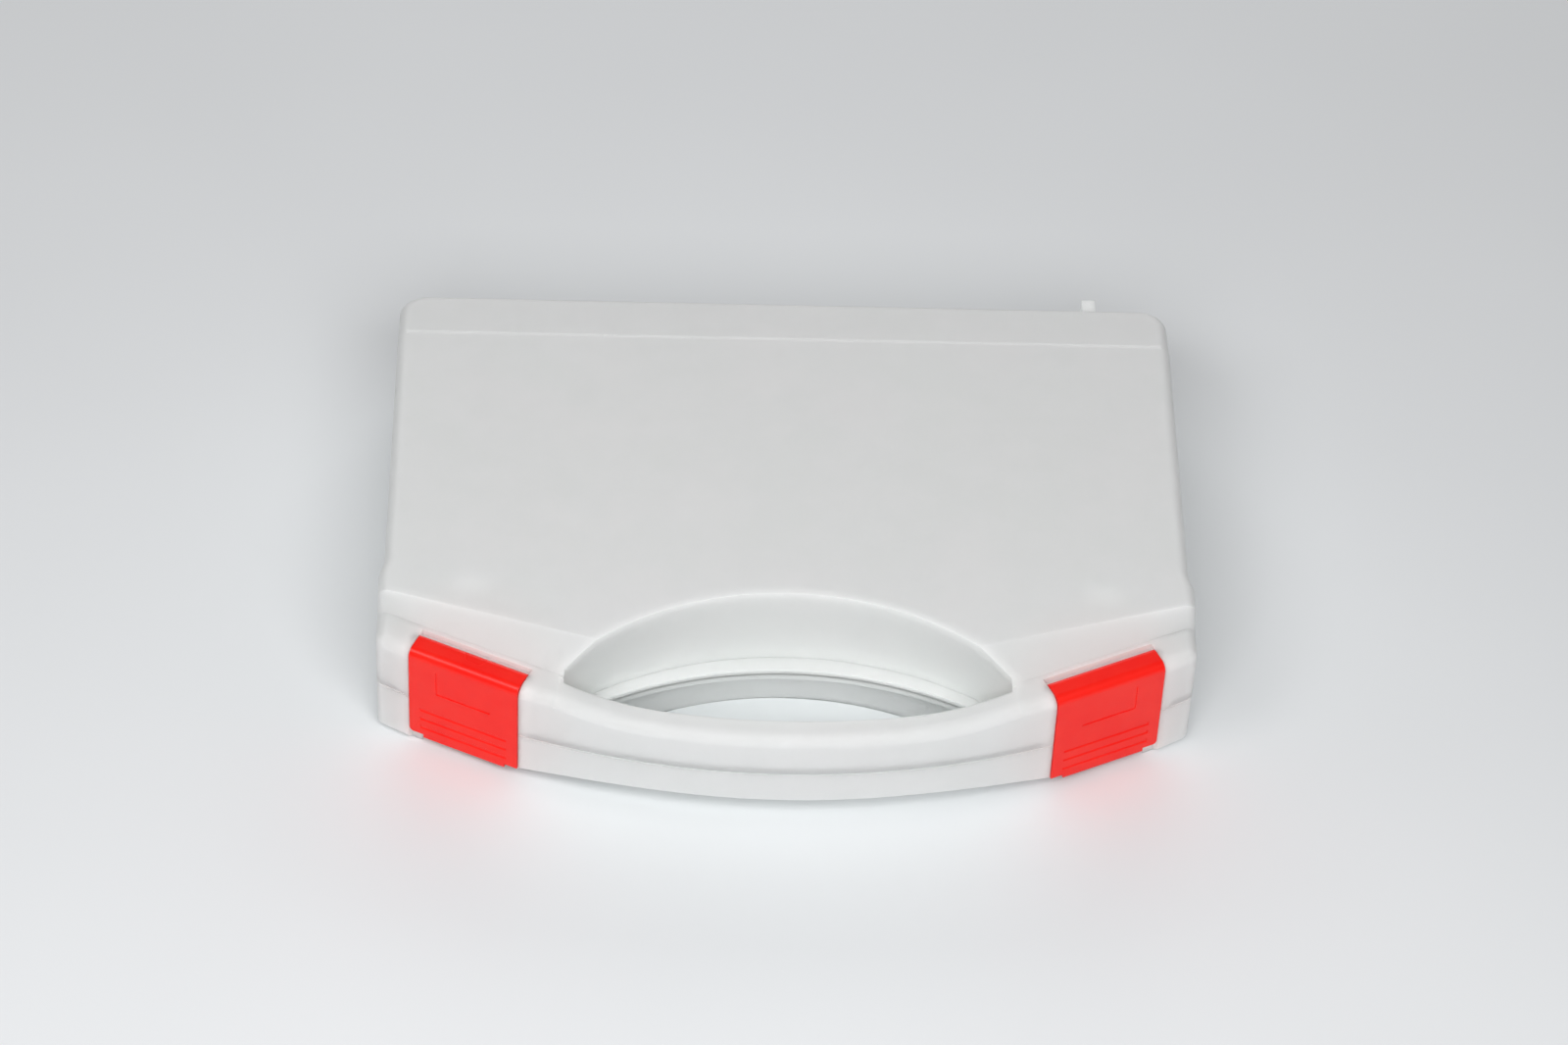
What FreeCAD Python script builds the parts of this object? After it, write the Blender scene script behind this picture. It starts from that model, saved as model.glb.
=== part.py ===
import FreeCAD, Part
import math
import os

# A clamshell tool case of injection-moulded polypropylene: a base shell, a lid shell that
# snaps onto the base's hinge pins, and two snap latches on the slanted front corners.
# The handle is half of each shell. Millimetres, +Z up. The case lies shut on its base with
# the handle towards -Y. The origin is the middle of the case's footprint, on the floor.

# Driving dimensions of the case
HALF_WIDTH = 136.5        # half of the width, at the latch corners
SIDE_STEP = 1.6           # the rear of the case is this much narrower on each side
STEP_FRONT = -41.0        # where the side steps in, going back
STEP_BACK = -35.0
BACK = 98.0               # outer face of the back wall
APEX = -105.0             # foremost point of the bowed handle
BOW_RADIUS = 262.0        # bow of the handle's front face
BOW_HALF = 86.3           # the bow ends here and the latch flats start
FLAT_ANGLE = 25.0         # each latch flat is turned this far out of the X direction
PARTING = 22.0            # height of the parting plane
TOP = 50.0                # height of the lid's top panel
WALL = 2.2                # wall thickness of both shells
RIM_RADIUS = 4.0          # rounding round the lid's top and along the handle
FOOT_BEVEL = 3.0          # bevel round the base's floor and along the arch
CREST_RADIUS = 2.5        # rounding of the handle's inner edge
SEAM = 0.4                # small step at the parting plane
SIDE_CORNER = 4.0         # plan radii of the outline's corners
STEP_CORNER = 5.0
BACK_CORNER = 10.0

# Lid: sloped band behind the top panel, and shoulders down to the latch deck
CREASE = 73.5
BAND_SLOPE = 9.0
DECK = 44.0
SHOULDER_TOP = (-89.7, 0.293)     # Y on the middle plane and slope in plan, top edge
SHOULDER_FOOT = (-116.4, 0.457)   # the same for the foot of the shoulder

# Bay and finger opening behind the handle
BAY_TOP = (-48.6, 100.0)          # foremost Y and radius of the bay's back wall, at the lid's top
BAY_FOOT = (-54.1, 125.0)         # the same at the parting plane
BAY_BOTTOM = (-49.8, 110.0)       # the same at the base's floor
OPENING_BACK = (-59.5, 130.0)     # back edge of the finger opening in the web
HANDLE_DEPTH = 10.0               # front to back
BAY_TIP = 2.5                     # the bay's two tips are cut off this far short
WEB = 2.2                         # thickness of each shell's web around the opening

# Handle heights
HANDLE_TOP = 39.0
HANDLE_LEVEL = 40.0               # the top is level up to here, then rises to the deck
HANDLE_END = 75.5
ARCH_RISE = 6.9                   # the underside arches up off the floor by this much
ARCH_LEVEL = 36.0                 # it is level up to here, then curves down to the floor
ARCH_END = 108.6
PAD = (99.0, 112.0, -51.0, -42.0) # low pad under the lid's top panel, in X and Y
PAD_DEPTH = 0.8
HANDLE_RIBS = (-44.0, 0.0, 44.0)
RIB = 1.4

# Lap joint at the rim
TONGUE_HEIGHT = 2.0
TONGUE = 1.0
LAP_GAP = 0.3

# Latch: plate, rolled top and pivot bar. In the latch's own frame, X runs along its width,
# -Y points out of the case, and the flat of the case is the plane Y = 0.
LATCH_WIDTH = 40.0
LATCH_MIDDLE = 22.9               # along the flat, from the end of the bow
LATCH_PLATE = 2.0
LATCH_PROUD = 0.5
LATCH_BOTTOM = 5.8
LATCH_CORNER = 1.5                # one lower corner of the plate is rounded by this much
ROLL_RADIUS = 3.0
BAR_RADIUS = 2.0
BAR_IN = 7.2                      # bar's axis, inwards from the plate's outer face
PIN_RADIUS = 0.9
PIN_LENGTH = 1.6
POCKET_GAP = 0.3
GROOVE_BACK = 10.8                # back edge of the groove behind the bar
LEDGE = 11.0                      # height of the base's ledge that the latch's hook holds
HOOK_DEPTH = 1.6
HOOK_HEIGHT = 3.2
TAB_DROP = 2.2
TAB_THICKNESS = 1.4
TAB_SHARE = 0.75                  # of the latch's width
GRIP_GROOVES = 3
GRIP_FOOT = 3.4                   # lowest groove above the plate's bottom edge
GRIP_PITCH = 4.2
GRIP_DEPTH = 0.35
GRIP_WIDTH = (2.2, 0.8)           # of a groove, at its mouth and at its bottom
GRIP_MARGIN = 4.0
PANEL = (10.0, 27.4, 38.0)        # sunk panel on the plate: half width, bottom and top
PANEL_SINK = 0.25

# Hinges
HINGE_X = 104.5
HINGE_BACK = 4.0                  # pin's axis behind the back wall
FIN_X = 108.0                     # upright fin on the lid at the right hinge
FIN = 4.6
FIN_TOP = 44.4
FIN_RADIUS = 2.0
HINGE_PIN = 1.6
HINGE_GAP = 0.3
KNUCKLE = 3.0
HOOK_WIDTH = 12.5
EAR = 2.5
EAR_GAP = 0.5

AXIS_Y = BACK + HINGE_BACK
COS = math.cos(math.radians(FLAT_ANGLE))
SIN = math.sin(math.radians(FLAT_ANGLE))
BOW_CENTRE = APEX + BOW_RADIUS
HANDLE_INSIDE = BOW_RADIUS - HANDLE_DEPTH
FAR = 200.0

# Places in the latch's own frame
OUTER = -LATCH_PROUD                    # outer face of the plate
SEAT = OUTER + LATCH_PLATE + POCKET_GAP    # bottom of the pocket
ROLL_Y = OUTER + ROLL_RADIUS
ROLL_Z = DECK - ROLL_RADIUS
BAR_Y = OUTER + BAR_IN
BAR_Z = DECK - BAR_RADIUS
HOOK_TIP = OUTER + LATCH_PLATE + HOOK_DEPTH
HOOK_HALF = LATCH_WIDTH / 2 - 4
BACKING_HALF = LATCH_WIDTH / 2 + PIN_LENGTH + POCKET_GAP + WALL


def vec(x, y, z=0.0):
    return FreeCAD.Vector(x, y, z)


def line(a, b):
    return Part.LineSegment(a, b).toShape()


def closed(points):
    """Edges of the polygon through points."""
    return [line(a, b) for a, b in zip(points, points[1:] + points[:1])]


def rounded_path(corners):
    """Lines through (x, y, radius) corners, each inner corner rounded by a tangent arc."""
    points = [vec(x, y) for x, y, _ in corners]
    edges = []
    start = points[0]
    for before, here, after, (_, _, radius) in zip(points, points[1:], points[2:], corners[1:-1]):
        to_before = (before - here).normalize()
        to_after = (after - here).normalize()
        half = to_before.getAngle(to_after) / 2
        reach = radius / math.tan(half)
        bisector = (to_before + to_after).normalize()
        middle = here + bisector * (radius / math.sin(half) - radius)
        first = here + to_before * reach
        last = here + to_after * reach
        edges.append(line(start, first))
        edges.append(Part.Arc(first, middle, last).toShape())
        start = last
    edges.append(line(start, points[-1]))
    return edges


def bow_end(inset):
    """Where the inset bow meets the inset latch flat, on the right."""
    x0, y0 = flat_point(0.0, inset)
    radius = BOW_RADIUS - inset
    along = x0 * COS + (y0 - BOW_CENTRE) * SIN
    off = x0 ** 2 + (y0 - BOW_CENTRE) ** 2 - radius ** 2
    t = -along + math.sqrt(along ** 2 - off)
    return x0 + t * COS, y0 + t * SIN


def flat_point(t, inset):
    """Point on the right latch flat, t along it from the end of the bow, inset inwards."""
    y0 = BOW_CENTRE - math.sqrt(BOW_RADIUS ** 2 - BOW_HALF ** 2)
    return BOW_HALF + t * COS - inset * SIN, y0 + t * SIN + inset * COS


def outline(inset, z):
    """The case's outline in plan, moved inwards by inset, as a closed wire at height z."""
    bow_x, bow_y = bow_end(inset)
    side = HALF_WIDTH - inset
    rear = side - SIDE_STEP
    corner_y = bow_y + (side - bow_x) * math.tan(math.radians(FLAT_ANGLE))
    right = [
        (bow_x, bow_y, 0.0),
        (side, corner_y, SIDE_CORNER - inset),
        (side, STEP_FRONT, STEP_CORNER - inset),
        (rear, STEP_BACK, STEP_CORNER + inset),
        (rear, BACK - inset, BACK_CORNER - inset),
    ]
    left = [(-x, y, r) for x, y, r in reversed(right)]
    bow = Part.Arc(vec(-bow_x, bow_y), vec(0, APEX + inset), vec(bow_x, bow_y))
    wire = Part.Wire(rounded_path(right + left) + [bow.toShape()])
    wire.translate(vec(0, 0, z))
    return wire


def block(inset, low, high):
    """Solid inside the outline."""
    return Part.Face(outline(inset, low)).extrude(vec(0, 0, high - low))


def ring(outer, inner, low, high):
    """Upright band that follows the outline, between two insets."""
    return block(outer, low, high).cut(block(inner, low, high))


def prism(points, direction):
    """Extrude the polygon through points."""
    return Part.Face(Part.makePolygon(points + points[:1])).extrude(direction)


def mirrored(shape):
    return shape.mirror(vec(0, 0, 0), vec(1, 0, 0))


def both_sides(shape):
    return [shape, mirrored(shape)]


# The bay behind the handle

def crossing(apex_back, radius_back, apex_front, radius_front):
    """Right-hand tip of the lens between the bay's back arc and the handle's inner arc."""
    low = apex_back - radius_back
    high = apex_front + radius_front
    gap = high - low
    up = (gap ** 2 + radius_back ** 2 - radius_front ** 2) / (2 * gap)
    return math.sqrt(radius_back ** 2 - up ** 2), low + up


def lens(back, z, grow=0.0, forward=0.0):
    """Lens-shaped wire: back arc bulging to +Y, front arc along the handle, blunt tips."""
    radius_back = back[1] + grow
    radius_front = HANDLE_INSIDE + grow
    apex_back = back[0] + grow
    apex_front = BOW_CENTRE - radius_front
    tip_x, _ = crossing(apex_back, radius_back, apex_front, radius_front)
    end = tip_x - BAY_TIP
    back_y = apex_back - radius_back + math.sqrt(radius_back ** 2 - end ** 2)
    front_y = BOW_CENTRE - math.sqrt(radius_front ** 2 - end ** 2) - forward
    back_right = vec(end, back_y, z)
    front_right = vec(end, front_y, z)
    back_left = vec(-end, back_y, z)
    front_left = vec(-end, front_y, z)
    return Part.Wire([
        Part.Arc(back_left, vec(0, apex_back, z), back_right).toShape(),
        line(back_right, front_right),
        Part.Arc(front_right, vec(0, apex_front - forward, z), front_left).toShape(),
        line(front_left, back_left),
    ])


def bay(far, far_z, foot_z, grow=0.0):
    """Tool for the bay, from the web at foot_z to past the shell's far face: a lofted back wall,
    and a front wall that is the handle's upright inner face."""
    stretch = 1.1
    past = PARTING + (far_z - PARTING) * stretch
    far_apex = BAY_FOOT[0] + (far[0] - BAY_FOOT[0]) * stretch
    far_radius = BAY_FOOT[1] + (far[1] - BAY_FOOT[1]) * stretch
    near = lens(BAY_FOOT, PARTING, grow, 3.0)
    away = lens((far_apex, far_radius), past, grow, 3.0)
    low, high = sorted((foot_z, past))
    core = Part.makeCylinder(HANDLE_INSIDE + grow, high - low, vec(0, BOW_CENTRE, low))
    return Part.makeLoft([near, away], True, True).common(core)


def finger_opening(low, high):
    face = Part.Face(lens(OPENING_BACK, low))
    return face.extrude(vec(0, 0, high - low))


# Cuts that shape the outside, each of them also used deeper for the inside

def band_cut(sink):
    """Everything above the sloped band behind the crease, lowered by sink."""
    slope = math.tan(math.radians(BAND_SLOPE))
    start = CREASE - sink * math.tan(math.radians(BAND_SLOPE / 2))
    high = TOP - sink
    end = 120.0
    points = [
        vec(-FAR, start, high),
        vec(-FAR, end, high - (end - start) * slope),
        vec(-FAR, end, TOP + 20),
        vec(-FAR, start, TOP + 20),
    ]
    return prism(points, vec(2 * FAR, 0, 0))


def shoulder_section(x, sink):
    top_y = SHOULDER_TOP[0] + SHOULDER_TOP[1] * x + sink * 0.2
    foot_y = SHOULDER_FOOT[0] + SHOULDER_FOOT[1] * x + sink * 0.2
    corners = [
        vec(x, top_y, TOP - sink), vec(x, foot_y, DECK - sink),
        vec(x, foot_y, TOP + 20), vec(x, top_y, TOP + 20),
    ]
    return Part.makePolygon(corners + corners[:1])


def shoulder_cut(sink):
    """Everything above the right shoulder and the level latch deck in front of it."""
    slope = Part.makeLoft([shoulder_section(x, sink) for x in (0.0, HALF_WIDTH)], True, True)
    z = DECK - sink
    foot = SHOULDER_FOOT[0] + sink * 0.2
    end = foot + SHOULDER_FOOT[1] * FAR
    corners = [vec(0, foot, z), vec(FAR, end, z), vec(FAR, APEX - 40, z), vec(0, APEX - 40, z)]
    deck = prism(corners, vec(0, 0, TOP + 20 - z))
    return slope.fuse(deck)


def handle_strip(half, low, high, grow):
    """The zone of the handle in plan: the ring between its inner arc and the outside."""
    block = Part.makeBox(2 * half, 80, high - low, vec(-half, APEX - 20, low))
    radius = HANDLE_INSIDE - 0.5 - grow
    core = Part.makeCylinder(radius, high - low, vec(0, BOW_CENTRE, low))
    return block.cut(core)


def handle_top_cut(sink):
    """Everything above the handle's top, which is level in the middle and rises at the ends."""
    rise = DECK - HANDLE_TOP
    run = HANDLE_END - HANDLE_LEVEL
    radius = (run ** 2 + rise ** 2) / (2 * rise)
    z = HANDLE_TOP - sink
    mid_x = HANDLE_LEVEL + radius * math.sin(math.atan2(rise, run))
    mid_z = z + radius - math.sqrt(radius ** 2 - (mid_x - HANDLE_LEVEL) ** 2)
    y = APEX - 30
    right_end = vec(HANDLE_END, y, z + rise)
    left_end = vec(-HANDLE_END, y, z + rise)
    edges = [
        Part.Arc(left_end, vec(-mid_x, y, mid_z), vec(-HANDLE_LEVEL, y, z)).toShape(),
        line(vec(-HANDLE_LEVEL, y, z), vec(HANDLE_LEVEL, y, z)),
        Part.Arc(vec(HANDLE_LEVEL, y, z), vec(mid_x, y, mid_z), right_end).toShape(),
        line(right_end, vec(HANDLE_END, y, TOP + 20)),
        line(vec(HANDLE_END, y, TOP + 20), vec(-HANDLE_END, y, TOP + 20)),
        line(vec(-HANDLE_END, y, TOP + 20), left_end),
    ]
    slab = Part.Face(Part.Wire(edges)).extrude(vec(0, 80, 0))
    return slab.common(handle_strip(HANDLE_END, PARTING, TOP + 20, sink))


def arch_cut(sink):
    """Everything below the handle's underside: level in the middle, curving down at the ends."""
    run = ARCH_END - ARCH_LEVEL
    radius = (run ** 2 + ARCH_RISE ** 2) / (2 * ARCH_RISE)
    mid_x = ARCH_LEVEL + radius * math.sin(math.atan2(ARCH_RISE, run))
    z = ARCH_RISE + sink
    mid_z = z - radius + math.sqrt(radius ** 2 - (mid_x - ARCH_LEVEL) ** 2)
    y = APEX - 30
    right_end = vec(ARCH_END, y, sink)
    left_end = vec(-ARCH_END, y, sink)
    edges = [
        Part.Arc(left_end, vec(-mid_x, y, mid_z), vec(-ARCH_LEVEL, y, z)).toShape(),
        line(vec(-ARCH_LEVEL, y, z), vec(ARCH_LEVEL, y, z)),
        Part.Arc(vec(ARCH_LEVEL, y, z), vec(mid_x, y, mid_z), right_end).toShape(),
        line(right_end, vec(ARCH_END, y, -20)),
        line(vec(ARCH_END, y, -20), vec(-ARCH_END, y, -20)),
        line(vec(-ARCH_END, y, -20), left_end),
    ]
    slab = Part.Face(Part.Wire(edges)).extrude(vec(0, 100, 0))
    return slab.common(handle_strip(ARCH_END, -20, PARTING, sink))


# The latch and its seat

def on_flat(shape):
    """Put a shape from the latch's own frame onto the right latch flat."""
    placed = shape.copy()
    placed.rotate(vec(0, 0, 0), vec(0, 0, 1), FLAT_ANGLE)
    x, y = flat_point(LATCH_MIDDLE, 0.0)
    placed.translate(vec(x, y, 0))
    return placed


def across(face_edges, half_width):
    """Extrude a closed profile in the YZ plane to both sides of X = 0."""
    face = Part.Face(Part.Wire(face_edges))
    face.translate(vec(-half_width, 0, 0))
    return face.extrude(vec(2 * half_width, 0, 0))


def quarter(centre_y, centre_z, radius):
    """Arc from the outer side of the roll over its top."""
    low = vec(0, centre_y - radius, centre_z)
    slant = radius * math.sqrt(0.5)
    high = vec(0, centre_y, centre_z + radius)
    return low, Part.Arc(low, vec(0, centre_y - slant, centre_z + slant), high).toShape(), high


def latch_plate():
    """Flat plate that rolls over into a lip at the top."""
    low_out, roll_out, high_out = quarter(ROLL_Y, ROLL_Z, ROLL_RADIUS)
    low_in, roll_in, high_in = quarter(ROLL_Y, ROLL_Z, ROLL_RADIUS - LATCH_PLATE)
    lip_top = vec(0, BAR_Y, DECK)
    lip_under = vec(0, BAR_Y, DECK - LATCH_PLATE)
    foot_out = vec(0, OUTER, LATCH_BOTTOM)
    foot_in = vec(0, OUTER + LATCH_PLATE, LATCH_BOTTOM)
    edges = [
        line(foot_out, low_out), roll_out, line(high_out, lip_top), line(lip_top, lip_under),
        line(lip_under, high_in), roll_in, line(low_in, foot_in), line(foot_in, foot_out),
    ]
    return across(edges, LATCH_WIDTH / 2)


def latch_hook():
    """Ridge on the plate's inner face, level on top, that catches the base's ledge."""
    inner = OUTER + LATCH_PLATE
    top = LEDGE - POCKET_GAP
    low = top - HOOK_HEIGHT
    corners = [
        vec(0, inner - 0.2, top), vec(0, HOOK_TIP, top), vec(0, HOOK_TIP, top - 0.8),
        vec(0, inner, low), vec(0, inner - 0.2, low),
    ]
    return across(closed(corners), HOOK_HALF)


def latch_tab():
    """Tongue for the fingertip below the plate's bottom edge."""
    half = LATCH_WIDTH * TAB_SHARE / 2
    low = LATCH_BOTTOM - TAB_DROP
    tab = Part.makeBox(2 * half, TAB_THICKNESS, TAB_DROP + 3, vec(-half, OUTER + 0.3, low))
    foot = [e for e in tab.Edges if e.BoundBox.ZMax < low + 0.1 and e.BoundBox.YLength < 0.1]
    return tab.makeFillet(0.5, foot)


def latch_grooves():
    """Shallow grooves across the plate for the fingertip."""
    wide, narrow = GRIP_WIDTH
    cuts = []
    for i in range(GRIP_GROOVES):
        z = LATCH_BOTTOM + GRIP_FOOT + i * GRIP_PITCH
        corners = [
            vec(0, OUTER - 0.2, z - wide / 2), vec(0, OUTER + GRIP_DEPTH, z - narrow / 2),
            vec(0, OUTER + GRIP_DEPTH, z + narrow / 2), vec(0, OUTER - 0.2, z + wide / 2),
        ]
        cuts.append(across(closed(corners), LATCH_WIDTH / 2 - GRIP_MARGIN))
    return cuts


def latch_solid():
    """One latch in its own frame."""
    half = LATCH_WIDTH / 2
    plate = latch_plate()
    corner = [
        e for e in plate.Edges
        if e.BoundBox.ZMax < LATCH_BOTTOM + 0.1 and e.BoundBox.XMin > half - 0.1
    ]
    plate = plate.makeFillet(LATCH_CORNER, corner)
    panel_half, low, high = PANEL
    panel = Part.makeBox(2 * panel_half, 5, high - low, vec(-panel_half, OUTER + PANEL_SINK - 5, low))
    bar = Part.makeCylinder(BAR_RADIUS, 2 * half, vec(-half, BAR_Y, BAR_Z), vec(1, 0, 0))
    end = half + PIN_LENGTH
    pins = Part.makeCylinder(PIN_RADIUS, 2 * end, vec(-end, BAR_Y, BAR_Z), vec(1, 0, 0))
    parts = [bar, pins, latch_tab(), latch_hook()]
    return plate.fuse(parts).cut([panel] + latch_grooves()).removeSplitter()


def latch_pocket():
    """All that is cut away round a latch: plate, lip, bar channel and blind pin sockets."""
    half = LATCH_WIDTH / 2 + POCKET_GAP
    low, arc, high = quarter(ROLL_Y, ROLL_Z, ROLL_RADIUS - LATCH_PLATE - POCKET_GAP)
    corners = [
        high, vec(0, OUTER + GROOVE_BACK, high.z), vec(0, OUTER + GROOVE_BACK, TOP + 20),
        vec(0, -12, TOP + 20), vec(0, -12, -5), vec(0, low.y, -5), low,
    ]
    room = across([line(a, b) for a, b in zip(corners, corners[1:])] + [arc], half)
    channel = Part.makeCylinder(
        BAR_RADIUS + POCKET_GAP, 2 * half, vec(-half, BAR_Y, BAR_Z), vec(1, 0, 0))
    reach = LATCH_WIDTH / 2 + PIN_LENGTH + POCKET_GAP
    socket = Part.makeCylinder(
        PIN_RADIUS + POCKET_GAP, 2 * reach, vec(-reach, BAR_Y, BAR_Z), vec(1, 0, 0))
    return room.fuse([channel, socket])


def latch_block(half, deep, low, high):
    """Block on the latch flat, from outside the case to a depth behind the flat."""
    return Part.makeBox(2 * half, 12 + deep, high - low, vec(-half, -12, low))


def hook_recess():
    """Room under the base's ledge for the latch's hook, open at the bottom."""
    return latch_block(HOOK_HALF + 0.5, HOOK_TIP + POCKET_GAP, -5, LEDGE)


def latch_backing_lid():
    """Thicker wall that carries the latch's pivot, before it is trimmed to the shell."""
    wall = latch_block(BACKING_HALF, SEAT + WALL, PARTING, TOP)
    shelf = latch_block(BACKING_HALF, OUTER + GROOVE_BACK + WALL, DECK - 5.5, TOP)
    return wall.fuse(shelf)


def latch_backing_base():
    """Stepped wall with the ledge for the latch's hook."""
    wall = latch_block(BACKING_HALF, SEAT + WALL, 0, PARTING)
    foot = latch_block(BACKING_HALF, HOOK_TIP + POCKET_GAP + WALL, 0, LEDGE + WALL)
    return wall.fuse(foot)


# The hinges

def hinge_profile(points, width, x):
    solid = across(closed(points), width / 2)
    solid.translate(vec(x, 0, 0))
    return solid


def hinge_ears():
    """Two ears on the base's back wall with the pin between them, at the right hinge."""
    parts = []
    offset = HOOK_WIDTH / 2 + EAR_GAP + EAR / 2
    for x in (HINGE_X - offset, HINGE_X + offset):
        round_end = Part.makeCylinder(KNUCKLE, EAR, vec(x - EAR / 2, AXIS_Y, PARTING), vec(1, 0, 0))
        web = [
            vec(0, BACK - 1.5, PARTING - 0.4), vec(0, AXIS_Y, PARTING - 0.4),
            vec(0, AXIS_Y + 2.5, PARTING - 1.6), vec(0, BACK - 1.5, PARTING - 14),
        ]
        parts += [round_end, hinge_profile(web, EAR, x)]
    pin = Part.makeCylinder(
        HINGE_PIN, 2 * offset, vec(HINGE_X - offset, AXIS_Y, PARTING), vec(1, 0, 0))
    return parts[0].fuse(parts[1:] + [pin])


def hinge_hook():
    """C-shaped hook on the lid that snaps over the pin, at the right hinge."""
    left = HINGE_X - HOOK_WIDTH / 2
    ring_out = Part.makeCylinder(KNUCKLE, HOOK_WIDTH, vec(left, AXIS_Y, PARTING), vec(1, 0, 0))
    arm_points = [
        vec(0, BACK - 0.8, PARTING + 1.0), vec(0, AXIS_Y - 1.0, PARTING + 1.0),
        vec(0, AXIS_Y + 2.2, PARTING + 2.0), vec(0, AXIS_Y + 0.6, PARTING + 5.0),
        vec(0, BACK - 0.8, PARTING + 12.0),
    ]
    arm = hinge_profile(arm_points, HOOK_WIDTH, HINGE_X)
    bore = Part.makeCylinder(
        HINGE_PIN + HINGE_GAP, HOOK_WIDTH, vec(left, AXIS_Y, PARTING), vec(1, 0, 0))
    mouth_points = [
        vec(0, AXIS_Y, PARTING), vec(0, AXIS_Y - 6, PARTING - 1.6),
        vec(0, AXIS_Y - 6, PARTING - 8), vec(0, AXIS_Y + 0.5, PARTING - 6),
    ]
    mouth = hinge_profile(mouth_points, HOOK_WIDTH, HINGE_X)
    return ring_out.fuse(arm).cut(bore.fuse(mouth))


def hinge_fin():
    """Upright fin on the lid's back wall, which stiffens the right hinge hook."""
    outer = AXIS_Y + KNUCKLE
    corners = [
        vec(0, BACK - 1.5, PARTING + 4), vec(0, outer - 1.0, PARTING + 4),
        vec(0, outer, PARTING + 8), vec(0, outer, FIN_TOP), vec(0, BACK - 1.5, FIN_TOP),
    ]
    fin = across(closed(corners), FIN / 2)
    tip = [e for e in fin.Edges if e.BoundBox.ZMin > FIN_TOP - 0.1 and e.BoundBox.YMin > outer - 0.1]
    fin = fin.makeFillet(FIN_RADIUS, tip)
    fin.translate(vec(FIN_X, 0, 0))
    return fin


# The shells

def inside_of(wire):
    """Test for edges that run well inside a plan outline."""
    column = Part.Face(wire).extrude(vec(0, 0, TOP + 10))

    def test(edge):
        span = edge.LastParameter - edge.FirstParameter
        places = [edge.valueAt(edge.FirstParameter + span * part) for part in (0, 0.5, 1)]
        return any(column.isInside(p, 0.001, False) for p in places)

    return test


def on_crest(edge):
    """True for the handle's inner top edge: its level middle and its two rising ends."""
    box = edge.BoundBox
    along = box.XLength > 2 * HANDLE_LEVEL - 1 or box.ZLength > 3
    return along and box.YMax < -83 and HANDLE_TOP - 3 < box.ZMin and box.ZMax < DECK + 0.1


def lid_outside():
    body = block(0.0, PARTING, TOP)
    body = body.cut([band_cut(0.0), handle_top_cut(0.0)] + both_sides(shoulder_cut(0.0)))
    body = body.cut(bay(BAY_TOP, TOP, PARTING + WEB))
    inner = inside_of(outline(1.0, 0))
    body = body.makeFillet(CREST_RADIUS, [e for e in body.Edges if inner(e) and on_crest(e)])
    high = [e for e in body.Edges if e.BoundBox.ZMin > HANDLE_TOP - 3]
    body = body.makeFillet(RIM_RADIUS, [e for e in high if not inner(e)])
    return body.cut(ring(-0.5, SEAM, PARTING - 1, PARTING + SEAM))


def lid_inside():
    room = block(WALL, PARTING - 1, TOP - WALL)
    tools = [band_cut(WALL), handle_top_cut(WALL), bay(BAY_TOP, TOP, PARTING, WALL)]
    return room.cut(tools + both_sides(shoulder_cut(WALL)))


def base_outside():
    body = block(0.0, 0.0, PARTING)
    body = body.cut([arch_cut(0.0), bay(BAY_BOTTOM, 0, PARTING - WEB)])
    inner = inside_of(outline(1.0, -5))
    foot = [e for e in body.Edges if e.BoundBox.ZMax < ARCH_RISE + 3 and not inner(e)]
    return body.makeChamfer(FOOT_BEVEL, foot)


def base_inside():
    room = block(WALL, WALL, PARTING + 1)
    return room.cut([arch_cut(WALL), bay(BAY_BOTTOM, 0, PARTING, WALL)])


def handle_ribs(low, high):
    """Ribs across the hollow handle."""
    strip = handle_strip(HANDLE_LEVEL + 10, low, high, 0.0)
    ribs = [Part.makeBox(RIB, 40, high - low, vec(x - RIB / 2, APEX - 10, low)) for x in HANDLE_RIBS]
    return [strip.common(rib) for rib in ribs]


def lid_pads():
    """Low pads under the lid's top panel, one behind each latch."""
    x0, x1, y0, y1 = PAD
    roof = TOP - WALL
    pad = Part.makeBox(x1 - x0, y1 - y0, PAD_DEPTH + 1, vec(x0, y0, roof - PAD_DEPTH))
    return both_sides(pad)


def lap(outer, inner, high):
    """Band at the rim for the lap joint, interrupted behind the latches."""
    band = ring(outer, inner, PARTING, high)
    stop = on_flat(latch_block(BACKING_HALF + 0.5, 10, PARTING - 1, high + 1))
    return band.cut(both_sides(stop))


def lid_shell():
    outside = lid_outside()
    shell = outside.cut(lid_inside())
    extra = both_sides(on_flat(latch_backing_lid())) + handle_ribs(PARTING, HANDLE_TOP) + lid_pads()
    shell = shell.fuse([outside.common(part) for part in extra])
    cuts = [finger_opening(PARTING - 1, PARTING + WEB + 1)]
    cuts.append(lap(WALL - TONGUE - LAP_GAP, WALL + LAP_GAP, PARTING + TONGUE_HEIGHT + LAP_GAP))
    cuts += both_sides(on_flat(latch_pocket()))
    shell = shell.cut(cuts)
    hinges = both_sides(hinge_hook()) + [hinge_fin()]
    return shell.fuse(hinges).removeSplitter()


def base_shell():
    outside = base_outside()
    shell = outside.cut(base_inside())
    extra = both_sides(on_flat(latch_backing_base())) + handle_ribs(0, PARTING)
    shell = shell.fuse([outside.common(part) for part in extra])
    cuts = [finger_opening(PARTING - WEB - 1, PARTING + 1)]
    cuts += both_sides(on_flat(latch_pocket())) + both_sides(on_flat(hook_recess()))
    shell = shell.cut(cuts)
    tongue = lap(WALL - TONGUE, WALL, PARTING + TONGUE_HEIGHT)
    return shell.fuse([tongue] + both_sides(hinge_ears())).removeSplitter()


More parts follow.
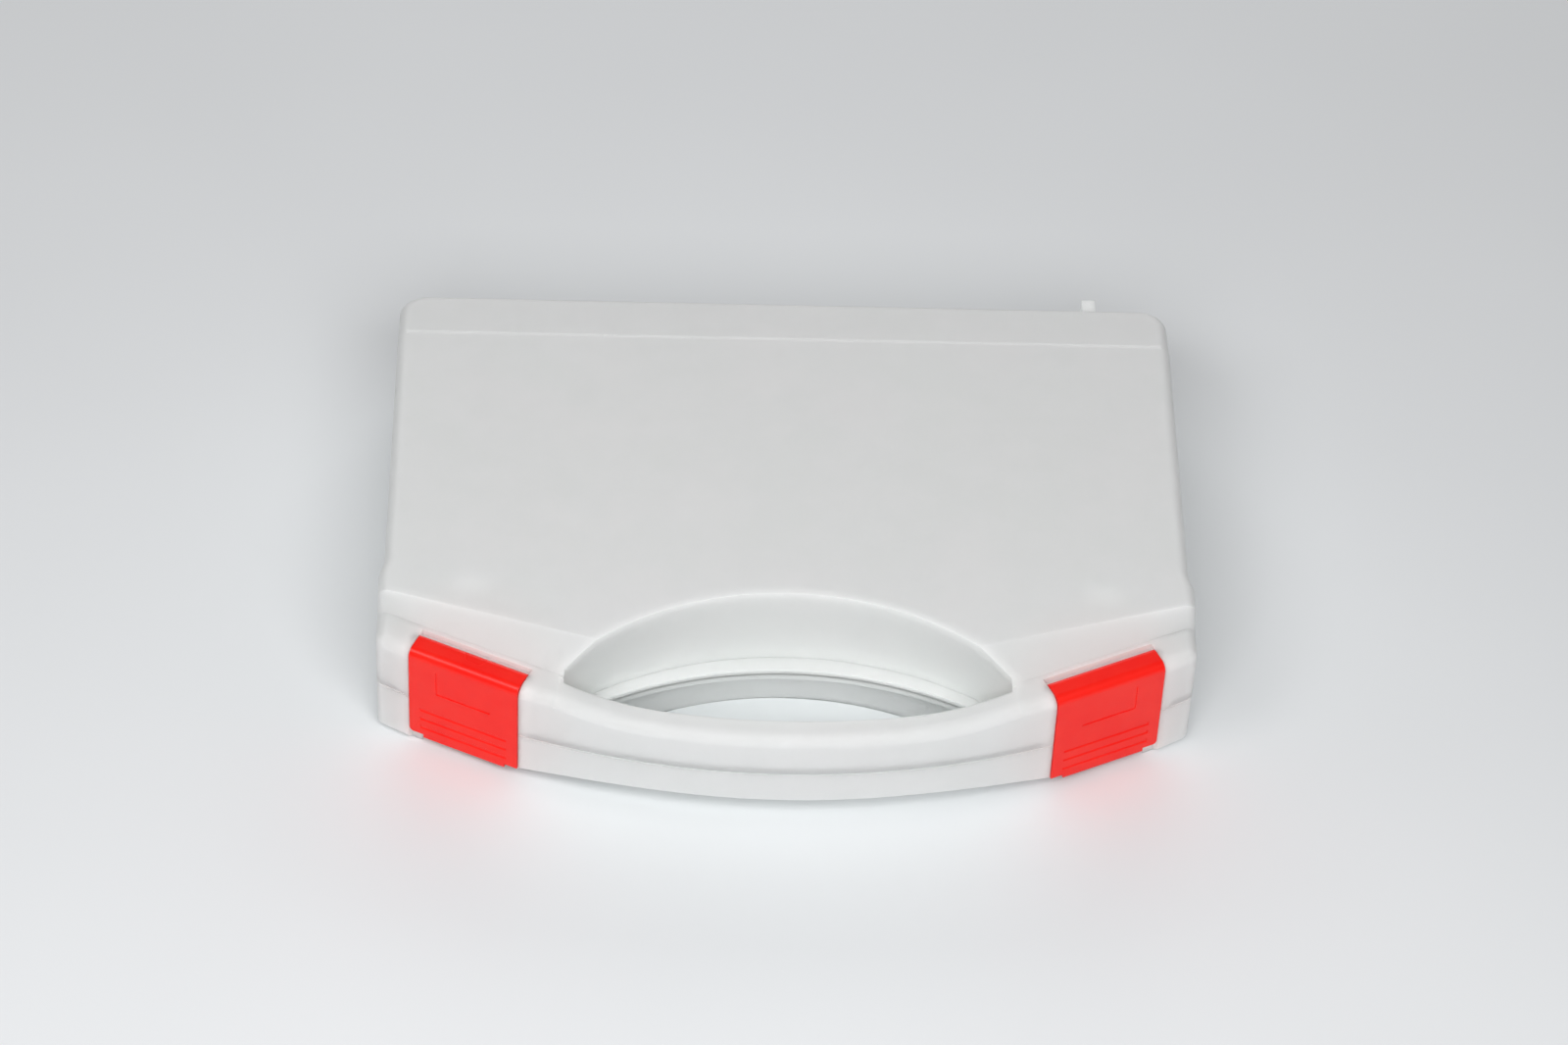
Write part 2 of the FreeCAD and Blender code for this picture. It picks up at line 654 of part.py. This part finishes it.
def save(name, shape):
    shape.exportStep("parts/" + name + ".step")
    print(name, "valid", shape.isValid(), "volume", round(shape.Volume), "solids", len(shape.Solids))


def main():
    os.makedirs("parts", exist_ok=True)
    latch = on_flat(latch_solid())
    save("base_shell", base_shell())
    save("lid_shell", lid_shell())
    save("latch_right", latch)
    save("latch_left", mirrored(latch))


main()
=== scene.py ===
# %% [markdown]
# # Plastic tool case
# The case is moulded in two shells of milky polypropylene with a pair of red snap latches.
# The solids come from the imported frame, so this lesson only gives them their finish, a
# floor to lie on, soft studio light and a camera.

# %% Load the frame
import math

import bmesh
import bpy
from mathutils import Matrix, Vector

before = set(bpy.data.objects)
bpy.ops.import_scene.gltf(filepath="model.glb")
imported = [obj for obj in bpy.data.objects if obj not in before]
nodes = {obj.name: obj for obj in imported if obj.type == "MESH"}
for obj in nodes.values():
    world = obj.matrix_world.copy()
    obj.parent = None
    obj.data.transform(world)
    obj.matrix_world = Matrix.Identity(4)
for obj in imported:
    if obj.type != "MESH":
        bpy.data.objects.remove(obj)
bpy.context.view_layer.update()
scene = bpy.context.scene
MM = 0.001

# %% [markdown]
# ## Camera
# A long lens from high in front keeps the long edges almost parallel. The camera is placed
# by the angle it looks down at, its turn round the case and a slight roll, which says more
# to a reader than a matrix of numbers.

# %% Camera
LOOK_AT = Vector((1.2, 34.0, 0.0)) * MM
LOOK_DOWN = math.radians(45.26)
TURN = math.radians(-2.65)
ROLL = math.radians(3.04)
DISTANCE = 1885.0 * MM

level = math.cos(LOOK_DOWN)
back = Vector((math.sin(TURN) * level, -math.cos(TURN) * level, math.sin(LOOK_DOWN)))
right = Vector((math.cos(TURN), math.sin(TURN), 0.0))
up = back.cross(right)
side = right * math.cos(ROLL) + up * math.sin(ROLL)
top = up * math.cos(ROLL) - right * math.sin(ROLL)
camera = bpy.data.objects.new("camera", bpy.data.cameras.new("camera"))
camera.data.lens = 123.5
camera.data.sensor_width = 36.0
camera.data.clip_end = 20.0
camera.matrix_world = Matrix((side, top, back)).transposed().to_4x4()
camera.location = LOOK_AT + back * DISTANCE
scene.collection.objects.link(camera)
scene.camera = camera
scene.view_settings.view_transform = "Standard"
print("camera at", tuple(round(v, 3) for v in camera.location))

# %% [markdown]
# ## Helpers
# Colours are written as sRGB hex and turned to the linear numbers that shaders use. One
# small function adds a node with its settings, input values and links. It could be left
# out, but then each material would be a good deal longer. Patterns are given by the size
# that they have on the case, and cycles(size) turns that into a texture's scale.

# %% Helpers
def colour(hex_code):
    """sRGB hex to linear RGBA."""
    channels = [int(hex_code[i:i + 2], 16) / 255 for i in (1, 3, 5)]
    linear = [c / 12.92 if c <= 0.04045 else ((c + 0.055) / 1.055) ** 2.4 for c in channels]
    return (*linear, 1.0)


def cycles(size_mm):
    """Scale of a texture whose features are about this many millimetres across."""
    return 1.0 / (size_mm * MM)


def add_node(tree, kind, settings=None, inputs=None, links=None):
    """Add a node, set its properties and input values, and link inputs to other outputs."""
    node = tree.nodes.new(kind)
    for key, value in (settings or {}).items():
        setattr(node, key, value)
    for key, value in (inputs or {}).items():
        node.inputs[key].default_value = value
    for key, source in (links or {}).items():
        tree.links.new(source, node.inputs[key])
    return node


def new_material(name, base, roughness):
    """Material with its node tree and its Principled shader, at its plain values."""
    material = bpy.data.materials.new(name)
    material.use_nodes = True
    shader = material.node_tree.nodes["Principled BSDF"]
    shader.inputs["Base Color"].default_value = colour(base)
    shader.inputs["Roughness"].default_value = roughness
    return material, material.node_tree, shader


def dress(node_name, material):
    """Give a CAD node one material."""
    slots = nodes[node_name].data.materials
    slots.clear()
    slots.append(material)
    print(node_name, "wears", material.name)


print("white is", colour("#FFFFFF"), "and a 2 mm pattern has scale", round(cycles(2.0)))

# %% [markdown]
# ## Natural polypropylene
# Both shells are injection-moulded from polypropylene with no pigment. It isn't clear like
# glass: crystals in the plastic scatter light, so the case glows softly and its shadows
# have no hard side. Subsurface scattering does that. The real wall is 2.2 mm thick, but
# light wanders along the wall as well as through it, so the reach is drawn at 8 mm. An
# opaque white would look like painted metal.

# %% Natural polypropylene
PLASTIC_IOR = 1.49

milky, tree, shader = new_material("natural polypropylene, satin moulded", "#F5F8F6", 0.56)
shader.inputs["IOR"].default_value = PLASTIC_IOR
shader.inputs["Subsurface Weight"].default_value = 0.9
shader.inputs["Subsurface Radius"].default_value = (1.0, 1.0, 1.0)
shader.inputs["Subsurface Scale"].default_value = 8.0 * MM
for name in ("base_shell", "lid_shell"):
    dress(name, milky)

# %% [markdown]
# ## Clouds in the plastic
# The melt cools unevenly in the mould and leaves faint clouds in the milky wall, some
# centimetres across. A painted texture could show them, but a noise and a narrow colour
# ramp need no unwrapping, and run on from one face to the next without a seam.

# %% Clouds
CLOUD_MM = 34.0
place = add_node(tree, "ShaderNodeTexCoord").outputs["Object"]
clouds = add_node(
    tree, "ShaderNodeTexNoise", None,
    {"Scale": cycles(CLOUD_MM), "Detail": 3.0, "Roughness": 0.5}, {"Vector": place})
tint = add_node(tree, "ShaderNodeValToRGB", None, None, {"Fac": clouds.outputs["Fac"]})
tint.color_ramp.elements[0].position = 0.36
tint.color_ramp.elements[0].color = colour("#F2F7F4")
tint.color_ramp.elements[1].position = 0.64
tint.color_ramp.elements[1].color = colour("#F6FAF8")
print("clouds at scale", round(cycles(CLOUD_MM), 1))

# %% [markdown]
# ## Pink beside the latches
# Some red light from the latches gets into the wall beside them. Scattering carries too
# little of it from one piece to the next, so a faint pink that fades out between 22 and
# 46 mm from the middle of each latch stands in for it. X is taken without its sign, so one
# distance serves both latches.

# %% Pink beside the latches
LATCH_MIDDLE = Vector((105.0, -79.0, 26.0)) * MM
BLUSH_FULL = 22.0 * MM
BLUSH_END = 46.0 * MM
PINK = "#F8ECEA"
axes = add_node(tree, "ShaderNodeSeparateXYZ", None, None, {0: place})
either_side = add_node(
    tree, "ShaderNodeMath", {"operation": "ABSOLUTE"}, None, {0: axes.outputs["X"]})
folded = add_node(
    tree, "ShaderNodeCombineXYZ", None, None,
    {"X": either_side.outputs[0], "Y": axes.outputs["Y"], "Z": axes.outputs["Z"]})
reach = add_node(
    tree, "ShaderNodeVectorMath", {"operation": "DISTANCE"},
    {1: LATCH_MIDDLE}, {0: folded.outputs[0]})
near = add_node(
    tree, "ShaderNodeMapRange", {"interpolation_type": "SMOOTHSTEP"},
    {"From Min": BLUSH_FULL, "From Max": BLUSH_END, "To Min": 1.0, "To Max": 0.0},
    {"Value": reach.outputs["Value"]})
blush = add_node(
    tree, "ShaderNodeMix", {"data_type": "RGBA"}, {"B": colour(PINK)},
    {"Factor": near.outputs["Result"], "A": tint.outputs["Color"]})
tree.links.new(blush.outputs["Result"], shader.inputs["Base Color"])
print("pink ends", round(BLUSH_END / MM), "mm from the middle of a latch")

# %% [markdown]
# ## Satin and the smooth bend
# The mould was spark-eroded to a fine satin, which is never quite even, so the roughness
# wanders a little. The bend near the back of the lid's top is smoother than the rest. A
# stripe about 2 mm wide, with less roughness, gives the thin bright line that the bend
# shows against the light. It ends where the top rounds over at the sides. A second
# material on a strip of faces would need the mesh cut, so the stripe is drawn by its place.

# %% Satin and the smooth bend
RUB_MM = 9.0
rub = add_node(
    tree, "ShaderNodeTexNoise", None, {"Scale": cycles(RUB_MM), "Detail": 4.0}, {"Vector": place})
satin = add_node(
    tree, "ShaderNodeMapRange", None, {"To Min": 0.47, "To Max": 0.65}, {"Value": rub.outputs["Fac"]})

CREASE = 74.8 * MM
STRIPE_FULL = 0.5 * MM
STRIPE_END = 1.3 * MM
ROUND_EDGE = 49.0 * MM
LEVEL_TOP = 49.6 * MM
SMOOTHER = -0.32
past_crease = add_node(
    tree, "ShaderNodeMath", {"operation": "SUBTRACT"}, {1: CREASE}, {0: axes.outputs["Y"]})
off_crease = add_node(
    tree, "ShaderNodeMath", {"operation": "ABSOLUTE"}, None, {0: past_crease.outputs[0]})
stripe = add_node(
    tree, "ShaderNodeMapRange", None,
    {"From Min": STRIPE_FULL, "From Max": STRIPE_END, "To Min": 1.0, "To Max": 0.0},
    {"Value": off_crease.outputs[0]})
on_top = add_node(
    tree, "ShaderNodeMapRange", None,
    {"From Min": ROUND_EDGE, "From Max": LEVEL_TOP, "To Min": 0.0, "To Max": SMOOTHER},
    {"Value": axes.outputs["Z"]})
finish = add_node(
    tree, "ShaderNodeMath", {"operation": "MULTIPLY_ADD"}, None,
    {0: stripe.outputs["Result"], 1: on_top.outputs["Result"], 2: satin.outputs["Result"]})
tree.links.new(finish.outputs[0], shader.inputs["Roughness"])
print("smooth bend at y", round(CREASE / MM, 1), "mm")

# %% [markdown]
# ## Waves and grain
# As the plastic shrinks it leaves shallow waves two centimetres or so across, and the
# eroded mould leaves a very fine grain. Neither changes the outline of the case, so both
# are bump, the grain on top of the waves. The real grain is about 0.1 mm and is drawn at
# 0.6 mm, since finer wouldn't show.

# %% Waves and grain
WAVE_MM = 22.0
GRAIN_MM = 0.6
waves = add_node(
    tree, "ShaderNodeTexNoise", None, {"Scale": cycles(WAVE_MM), "Detail": 1.0}, {"Vector": place})
grain = add_node(
    tree, "ShaderNodeTexNoise", None, {"Scale": cycles(GRAIN_MM), "Detail": 2.0}, {"Vector": place})
wavy = add_node(
    tree, "ShaderNodeBump", None, {"Strength": 1.0, "Distance": 0.07 * MM},
    {"Height": waves.outputs["Fac"]})
rough = add_node(
    tree, "ShaderNodeBump", None, {"Strength": 1.0, "Distance": 0.012 * MM},
    {"Height": grain.outputs["Fac"], "Normal": wavy.outputs["Normal"]})
tree.links.new(rough.outputs["Normal"], shader.inputs["Normal"])
print("grain at scale", round(cycles(GRAIN_MM)), "on waves at scale", round(cycles(WAVE_MM)))

# %% [markdown]
# ## Red polypropylene
# The latches are the same plastic with a strong red pigment, from a smoother mould. Light
# reaches less than a millimetre into it, so the scattering is short and red. The smoother
# skin gives a soft band of light along the bend of each latch, where the shells stay matt.
# The pigment isn't perfectly even, and the colour drifts slightly over the plate.

# %% Red polypropylene
DRIFT_MM = 11.0
RED_RUB_MM = 14.0

red, tree, shader = new_material("red polypropylene, moulded", "#FF1D10", 0.30)
shader.inputs["IOR"].default_value = PLASTIC_IOR
shader.inputs["Specular IOR Level"].default_value = 0.38
shader.inputs["Subsurface Weight"].default_value = 0.4
shader.inputs["Subsurface Radius"].default_value = (1.0, 0.12, 0.08)
shader.inputs["Subsurface Scale"].default_value = 0.9 * MM

place = add_node(tree, "ShaderNodeTexCoord").outputs["Object"]
drift = add_node(
    tree, "ShaderNodeTexNoise", None, {"Scale": cycles(DRIFT_MM), "Detail": 3.0}, {"Vector": place})
tint = add_node(tree, "ShaderNodeValToRGB", None, None, {"Fac": drift.outputs["Fac"]})
tint.color_ramp.elements[0].position = 0.35
tint.color_ramp.elements[0].color = colour("#FC180C")
tint.color_ramp.elements[1].position = 0.65
tint.color_ramp.elements[1].color = colour("#FF2214")
tree.links.new(tint.outputs["Color"], shader.inputs["Base Color"])
rub = add_node(
    tree, "ShaderNodeTexNoise", None, {"Scale": cycles(RED_RUB_MM), "Detail": 2.0}, {"Vector": place})
satin = add_node(
    tree, "ShaderNodeMapRange", None, {"To Min": 0.24, "To Max": 0.36}, {"Value": rub.outputs["Fac"]})
tree.links.new(satin.outputs["Result"], shader.inputs["Roughness"])
grain = add_node(
    tree, "ShaderNodeTexNoise", None, {"Scale": cycles(GRAIN_MM), "Detail": 2.0}, {"Vector": place})
rough = add_node(
    tree, "ShaderNodeBump", None, {"Strength": 1.0, "Distance": 0.008 * MM},
    {"Height": grain.outputs["Fac"]})
tree.links.new(rough.outputs["Normal"], shader.inputs["Normal"])
for name in ("latch_right", "latch_left"):
    dress(name, red)

# %% [markdown]
# ## Floor
# The case lies on a sweep of matt white paper. It glows by no light of its own: it is pale
# because the paper is, and so it keeps the case's shadow and the pink under the latches.
# Its tone drifts very slightly, as a large sheet's does.

# %% Floor
HALF_FLOOR = 6.0
sheet = bmesh.new()
bmesh.ops.create_grid(sheet, x_segments=1, y_segments=1, size=HALF_FLOOR)
floor_mesh = bpy.data.meshes.new("floor")
sheet.to_mesh(floor_mesh)
sheet.free()
floor = bpy.data.objects.new("floor", floor_mesh)
scene.collection.objects.link(floor)

TONE_MM = 120.0
paper, tree, shader = new_material("white paper, matt", "#E6E8EA", 0.8)
place = add_node(tree, "ShaderNodeTexCoord").outputs["Object"]
tone = add_node(
    tree, "ShaderNodeTexNoise", None, {"Scale": cycles(TONE_MM), "Detail": 1.0}, {"Vector": place})
tint = add_node(tree, "ShaderNodeValToRGB", None, None, {"Fac": tone.outputs["Fac"]})
tint.color_ramp.elements[0].color = colour("#E4E6E8")
tint.color_ramp.elements[1].color = colour("#E8EAEC")
tree.links.new(tint.outputs["Color"], shader.inputs["Base Color"])
floor_mesh.materials.append(paper)
print("floor", tuple(round(v, 2) for v in floor.dimensions))

# %% [markdown]
# ## Light
# Three soft lamps and an even fill from the world light the case at a plain level, so that
# the paper comes out about as it is written. The front lamp is wide, and stands in front of
# the handle and above it. It makes the front of the case the brightest part, and its light
# falls off towards the back. A smaller one at the left draws the band of light along the
# bend of the left latch. The back lamp stands low behind the case and lights the top at a
# slant, a little darker than the front.

# %% Light
world = bpy.data.worlds.new("studio")
scene.world = world
world.use_nodes = True
fill = world.node_tree.nodes["Background"]
fill.inputs["Color"].default_value = (1, 1, 1, 1)
fill.inputs["Strength"].default_value = 0.19
AIM = Vector((0.0, 0.0, 0.0))


def soft_box(name, place, size, watts):
    """Rectangular area lamp at a place, turned towards the case."""
    data = bpy.data.lights.new(name, "AREA")
    data.shape = "RECTANGLE"
    data.size, data.size_y = size
    data.energy = watts
    lamp = bpy.data.objects.new(name, data)
    lamp.location = place
    lamp.rotation_euler = (AIM - Vector(place)).to_track_quat("-Z", "Y").to_euler()
    scene.collection.objects.link(lamp)
    print(name, watts, "W")


soft_box("front lamp", (0.05, -0.75, 0.8), (0.9, 0.6), 8.8)
soft_box("left lamp", (-0.55, -0.40, 0.85), (0.4, 0.4), 2.0)
soft_box("back lamp", (0.0, 1.3, 0.6), (1.6, 0.6), 6.3)
